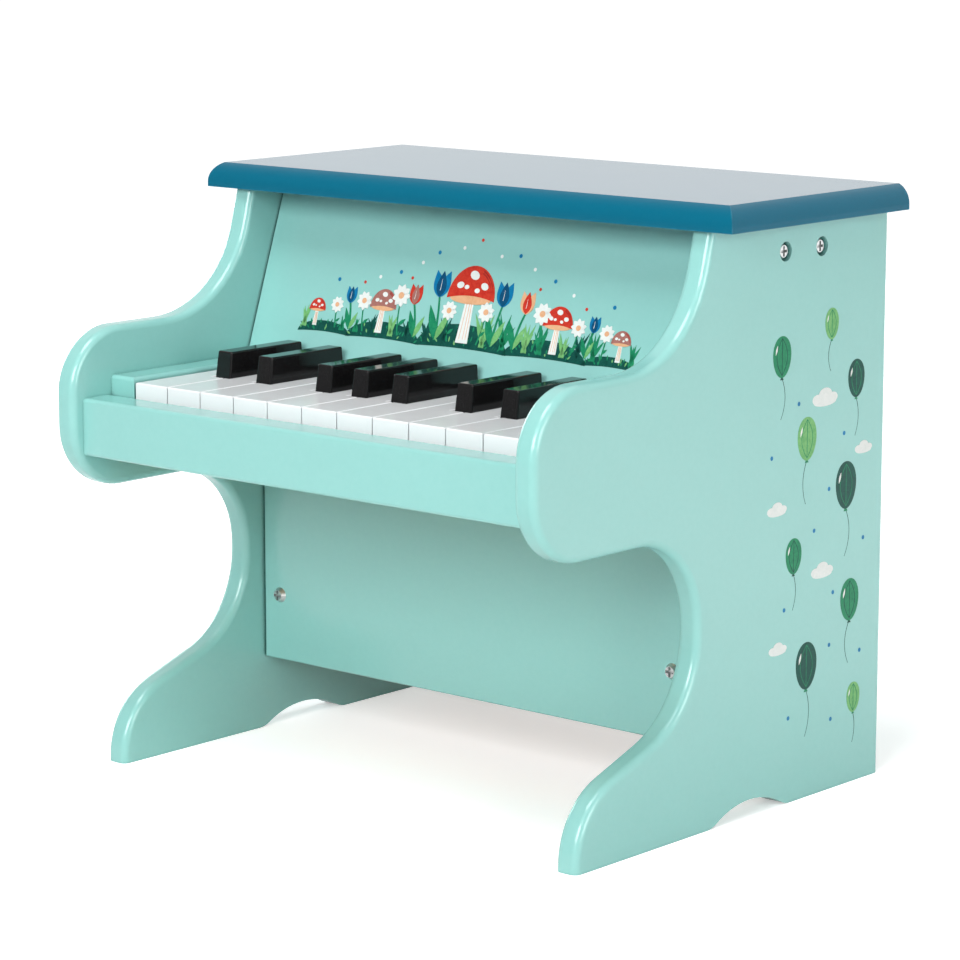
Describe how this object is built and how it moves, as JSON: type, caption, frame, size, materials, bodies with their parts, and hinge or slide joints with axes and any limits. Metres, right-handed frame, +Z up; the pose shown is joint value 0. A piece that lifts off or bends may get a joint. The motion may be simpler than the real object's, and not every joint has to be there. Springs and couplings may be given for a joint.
{
  "type": "toy piano",
  "caption": "Small toy upright piano of painted board: overhanging lid, leaning front panel, side panels with rounded cheeks and hollow knees, keys that throw hammers at tone rods.",
  "frame": {"origin": "on the floor, midway along the width and the depth of the case", "axes": "+X to the player's right, +Y from the player to the back panel, +Z up"},
  "size_m": [0.286, 0.228, 0.2515],
  "materials": {
    "mint_paint": "semi-gloss paint over board",
    "teal_paint": "gloss paint over board",
    "white_plastic": "gloss, moulded",
    "black_plastic": "gloss, moulded",
    "raw_wood": "bare planed wood",
    "hardboard": "bare hardboard",
    "steel": "zinc plated",
    "cast_metal": "as cast",
    "felt": "felt",
    "action_plastic": "matt, moulded"
  },
  "bodies": {
    "case": {"left_side_panel": "mint_paint", "right_side_panel": "mint_paint", "front_panel": "mint_paint", "key_slip": "mint_paint", "left_key_block": "mint_paint", "right_key_block": "mint_paint", "kick_board": "mint_paint", "back_panel": "mint_paint", "lid": "teal_paint", "key_bed": "raw_wood", "case_cleats": "raw_wood", "tone_rail": "raw_wood", "dowels": "raw_wood", "bottom_board": "hardboard", "axles": "steel", "tone_rods": "steel", "side_screws": "steel", "board_screws": "steel", "frame_screws": "steel", "tone_block": "cast_metal", "front_rail_felt": "felt", "back_rest_felt": "felt", "key_frame": "action_plastic", "hammer_frame": "action_plastic"},
    "white_key_01": {"white_key_01": "white_plastic"},
    "hammer_01": {"hammer_01": "action_plastic"},
    "black_key_01": {"black_key_01": "black_plastic"},
    "hammer_02": {"hammer_02": "action_plastic"},
    "white_key_02": {"white_key_02": "white_plastic"},
    "hammer_03": {"hammer_03": "action_plastic"},
    "black_key_02": {"black_key_02": "black_plastic"},
    "hammer_04": {"hammer_04": "action_plastic"},
    "white_key_03": {"white_key_03": "white_plastic"},
    "hammer_05": {"hammer_05": "action_plastic"},
    "white_key_04": {"white_key_04": "white_plastic"},
    "hammer_06": {"hammer_06": "action_plastic"},
    "black_key_03": {"black_key_03": "black_plastic"},
    "hammer_07": {"hammer_07": "action_plastic"},
    "white_key_05": {"white_key_05": "white_plastic"},
    "hammer_08": {"hammer_08": "action_plastic"},
    "black_key_04": {"black_key_04": "black_plastic"},
    "hammer_09": {"hammer_09": "action_plastic"},
    "white_key_06": {"white_key_06": "white_plastic"},
    "hammer_10": {"hammer_10": "action_plastic"},
    "black_key_05": {"black_key_05": "black_plastic"},
    "hammer_11": {"hammer_11": "action_plastic"},
    "white_key_07": {"white_key_07": "white_plastic"},
    "hammer_12": {"hammer_12": "action_plastic"},
    "white_key_08": {"white_key_08": "white_plastic"},
    "hammer_13": {"hammer_13": "action_plastic"},
    "black_key_06": {"black_key_06": "black_plastic"},
    "hammer_14": {"hammer_14": "action_plastic"},
    "white_key_09": {"white_key_09": "white_plastic"},
    "hammer_15": {"hammer_15": "action_plastic"},
    "black_key_07": {"black_key_07": "black_plastic"},
    "hammer_16": {"hammer_16": "action_plastic"},
    "white_key_10": {"white_key_10": "white_plastic"},
    "hammer_17": {"hammer_17": "action_plastic"},
    "white_key_11": {"white_key_11": "white_plastic"},
    "hammer_18": {"hammer_18": "action_plastic"}
  },
  "joints": [
    {"name": "white_key_01_dip", "type": "hinge", "parent": "case", "child": "white_key_01", "pos_m": [0, -0.01998, 0.15701], "axis": [1, 0, 0], "range_deg": [0, 4.8]},
    {"name": "hammer_01_throw", "type": "hinge", "parent": "case", "child": "hammer_01", "pos_m": [0, 0.05802, 0.16561], "axis": [1, 0, 0], "range_deg": [-20.65, 0]},
    {"name": "black_key_01_dip", "type": "hinge", "parent": "case", "child": "black_key_01", "pos_m": [0, -0.01998, 0.15701], "axis": [1, 0, 0], "range_deg": [0, 4.8]},
    {"name": "hammer_02_throw", "type": "hinge", "parent": "case", "child": "hammer_02", "pos_m": [0, 0.05802, 0.16561], "axis": [1, 0, 0], "range_deg": [-20.65, 0]},
    {"name": "white_key_02_dip", "type": "hinge", "parent": "case", "child": "white_key_02", "pos_m": [0, -0.01998, 0.15701], "axis": [1, 0, 0], "range_deg": [0, 4.8]},
    {"name": "hammer_03_throw", "type": "hinge", "parent": "case", "child": "hammer_03", "pos_m": [0, 0.05802, 0.16561], "axis": [1, 0, 0], "range_deg": [-20.65, 0]},
    {"name": "black_key_02_dip", "type": "hinge", "parent": "case", "child": "black_key_02", "pos_m": [0, -0.01998, 0.15701], "axis": [1, 0, 0], "range_deg": [0, 4.8]},
    {"name": "hammer_04_throw", "type": "hinge", "parent": "case", "child": "hammer_04", "pos_m": [0, 0.05802, 0.16561], "axis": [1, 0, 0], "range_deg": [-20.65, 0]},
    {"name": "white_key_03_dip", "type": "hinge", "parent": "case", "child": "white_key_03", "pos_m": [0, -0.01998, 0.15701], "axis": [1, 0, 0], "range_deg": [0, 4.8]},
    {"name": "hammer_05_throw", "type": "hinge", "parent": "case", "child": "hammer_05", "pos_m": [0, 0.05802, 0.16561], "axis": [1, 0, 0], "range_deg": [-20.65, 0]},
    {"name": "white_key_04_dip", "type": "hinge", "parent": "case", "child": "white_key_04", "pos_m": [0, -0.01998, 0.15701], "axis": [1, 0, 0], "range_deg": [0, 4.8]},
    {"name": "hammer_06_throw", "type": "hinge", "parent": "case", "child": "hammer_06", "pos_m": [0, 0.05802, 0.16561], "axis": [1, 0, 0], "range_deg": [-20.65, 0]},
    {"name": "black_key_03_dip", "type": "hinge", "parent": "case", "child": "black_key_03", "pos_m": [0, -0.01998, 0.15701], "axis": [1, 0, 0], "range_deg": [0, 4.8]},
    {"name": "hammer_07_throw", "type": "hinge", "parent": "case", "child": "hammer_07", "pos_m": [0, 0.05802, 0.16561], "axis": [1, 0, 0], "range_deg": [-20.65, 0]},
    {"name": "white_key_05_dip", "type": "hinge", "parent": "case", "child": "white_key_05", "pos_m": [0, -0.01998, 0.15701], "axis": [1, 0, 0], "range_deg": [0, 4.8]},
    {"name": "hammer_08_throw", "type": "hinge", "parent": "case", "child": "hammer_08", "pos_m": [0, 0.05802, 0.16561], "axis": [1, 0, 0], "range_deg": [-20.65, 0]},
    {"name": "black_key_04_dip", "type": "hinge", "parent": "case", "child": "black_key_04", "pos_m": [0, -0.01998, 0.15701], "axis": [1, 0, 0], "range_deg": [0, 4.8]},
    {"name": "hammer_09_throw", "type": "hinge", "parent": "case", "child": "hammer_09", "pos_m": [0, 0.05802, 0.16561], "axis": [1, 0, 0], "range_deg": [-20.65, 0]},
    {"name": "white_key_06_dip", "type": "hinge", "parent": "case", "child": "white_key_06", "pos_m": [0, -0.01998, 0.15701], "axis": [1, 0, 0], "range_deg": [0, 4.8]},
    {"name": "hammer_10_throw", "type": "hinge", "parent": "case", "child": "hammer_10", "pos_m": [0, 0.05802, 0.16561], "axis": [1, 0, 0], "range_deg": [-20.65, 0]},
    {"name": "black_key_05_dip", "type": "hinge", "parent": "case", "child": "black_key_05", "pos_m": [0, -0.01998, 0.15701], "axis": [1, 0, 0], "range_deg": [0, 4.8]},
    {"name": "hammer_11_throw", "type": "hinge", "parent": "case", "child": "hammer_11", "pos_m": [0, 0.05802, 0.16561], "axis": [1, 0, 0], "range_deg": [-20.65, 0]},
    {"name": "white_key_07_dip", "type": "hinge", "parent": "case", "child": "white_key_07", "pos_m": [0, -0.01998, 0.15701], "axis": [1, 0, 0], "range_deg": [0, 4.8]},
    {"name": "hammer_12_throw", "type": "hinge", "parent": "case", "child": "hammer_12", "pos_m": [0, 0.05802, 0.16561], "axis": [1, 0, 0], "range_deg": [-20.65, 0]},
    {"name": "white_key_08_dip", "type": "hinge", "parent": "case", "child": "white_key_08", "pos_m": [0, -0.01998, 0.15701], "axis": [1, 0, 0], "range_deg": [0, 4.8]},
    {"name": "hammer_13_throw", "type": "hinge", "parent": "case", "child": "hammer_13", "pos_m": [0, 0.05802, 0.16561], "axis": [1, 0, 0], "range_deg": [-20.65, 0]},
    {"name": "black_key_06_dip", "type": "hinge", "parent": "case", "child": "black_key_06", "pos_m": [0, -0.01998, 0.15701], "axis": [1, 0, 0], "range_deg": [0, 4.8]},
    {"name": "hammer_14_throw", "type": "hinge", "parent": "case", "child": "hammer_14", "pos_m": [0, 0.05802, 0.16561], "axis": [1, 0, 0], "range_deg": [-20.65, 0]},
    {"name": "white_key_09_dip", "type": "hinge", "parent": "case", "child": "white_key_09", "pos_m": [0, -0.01998, 0.15701], "axis": [1, 0, 0], "range_deg": [0, 4.8]},
    {"name": "hammer_15_throw", "type": "hinge", "parent": "case", "child": "hammer_15", "pos_m": [0, 0.05802, 0.16561], "axis": [1, 0, 0], "range_deg": [-20.65, 0]},
    {"name": "black_key_07_dip", "type": "hinge", "parent": "case", "child": "black_key_07", "pos_m": [0, -0.01998, 0.15701], "axis": [1, 0, 0], "range_deg": [0, 4.8]},
    {"name": "hammer_16_throw", "type": "hinge", "parent": "case", "child": "hammer_16", "pos_m": [0, 0.05802, 0.16561], "axis": [1, 0, 0], "range_deg": [-20.65, 0]},
    {"name": "white_key_10_dip", "type": "hinge", "parent": "case", "child": "white_key_10", "pos_m": [0, -0.01998, 0.15701], "axis": [1, 0, 0], "range_deg": [0, 4.8]},
    {"name": "hammer_17_throw", "type": "hinge", "parent": "case", "child": "hammer_17", "pos_m": [0, 0.05802, 0.16561], "axis": [1, 0, 0], "range_deg": [-20.65, 0]},
    {"name": "white_key_11_dip", "type": "hinge", "parent": "case", "child": "white_key_11", "pos_m": [0, -0.01998, 0.15701], "axis": [1, 0, 0], "range_deg": [0, 4.8]},
    {"name": "hammer_18_throw", "type": "hinge", "parent": "case", "child": "hammer_18", "pos_m": [0, 0.05802, 0.16561], "axis": [1, 0, 0], "range_deg": [-20.65, 0]}
  ],
  "couplings": [
    {"joint": "hammer_01_throw", "follows": "white_key_01_dip", "ratio": -4.3},
    {"joint": "hammer_02_throw", "follows": "black_key_01_dip", "ratio": -4.3},
    {"joint": "hammer_03_throw", "follows": "white_key_02_dip", "ratio": -4.3},
    {"joint": "hammer_04_throw", "follows": "black_key_02_dip", "ratio": -4.3},
    {"joint": "hammer_05_throw", "follows": "white_key_03_dip", "ratio": -4.3},
    {"joint": "hammer_06_throw", "follows": "white_key_04_dip", "ratio": -4.3},
    {"joint": "hammer_07_throw", "follows": "black_key_03_dip", "ratio": -4.3},
    {"joint": "hammer_08_throw", "follows": "white_key_05_dip", "ratio": -4.3},
    {"joint": "hammer_09_throw", "follows": "black_key_04_dip", "ratio": -4.3},
    {"joint": "hammer_10_throw", "follows": "white_key_06_dip", "ratio": -4.3},
    {"joint": "hammer_11_throw", "follows": "black_key_05_dip", "ratio": -4.3},
    {"joint": "hammer_12_throw", "follows": "white_key_07_dip", "ratio": -4.3},
    {"joint": "hammer_13_throw", "follows": "white_key_08_dip", "ratio": -4.3},
    {"joint": "hammer_14_throw", "follows": "black_key_06_dip", "ratio": -4.3},
    {"joint": "hammer_15_throw", "follows": "white_key_09_dip", "ratio": -4.3},
    {"joint": "hammer_16_throw", "follows": "black_key_07_dip", "ratio": -4.3},
    {"joint": "hammer_17_throw", "follows": "white_key_10_dip", "ratio": -4.3},
    {"joint": "hammer_18_throw", "follows": "white_key_11_dip", "ratio": -4.3}
  ]
}
